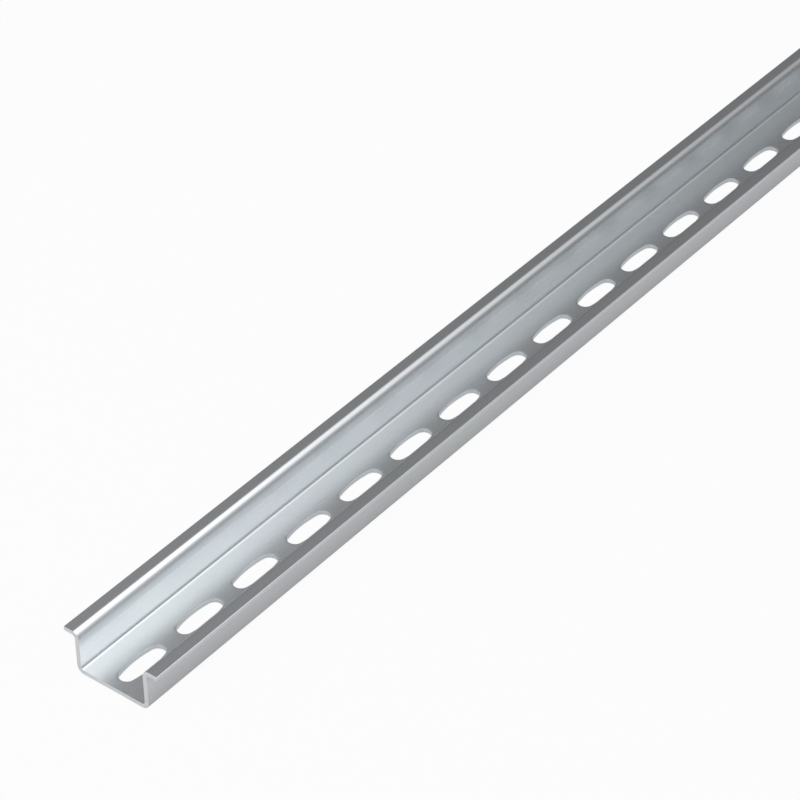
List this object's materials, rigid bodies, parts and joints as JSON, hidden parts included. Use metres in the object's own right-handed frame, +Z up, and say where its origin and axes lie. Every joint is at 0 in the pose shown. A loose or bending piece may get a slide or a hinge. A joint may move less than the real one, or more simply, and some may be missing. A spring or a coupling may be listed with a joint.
{
  "type": "din rail",
  "caption": "Perforated steel top-hat mounting rail, deep section, open side up, with a row of long slots in its web.",
  "frame": {"origin": "underside of the web, at the middle of the rail's length and width", "axes": "+X along the rail, +Y across it, +Z up, out of the open side of the section"},
  "size_m": [1, 0.035, 0.015],
  "materials": {
    "zinc_plated_steel": "zinc-plated cold-rolled strip, satin, with a cool tint"
  },
  "bodies": {
    "root": {"din_rail": "zinc_plated_steel"}
  },
  "joints": []
}
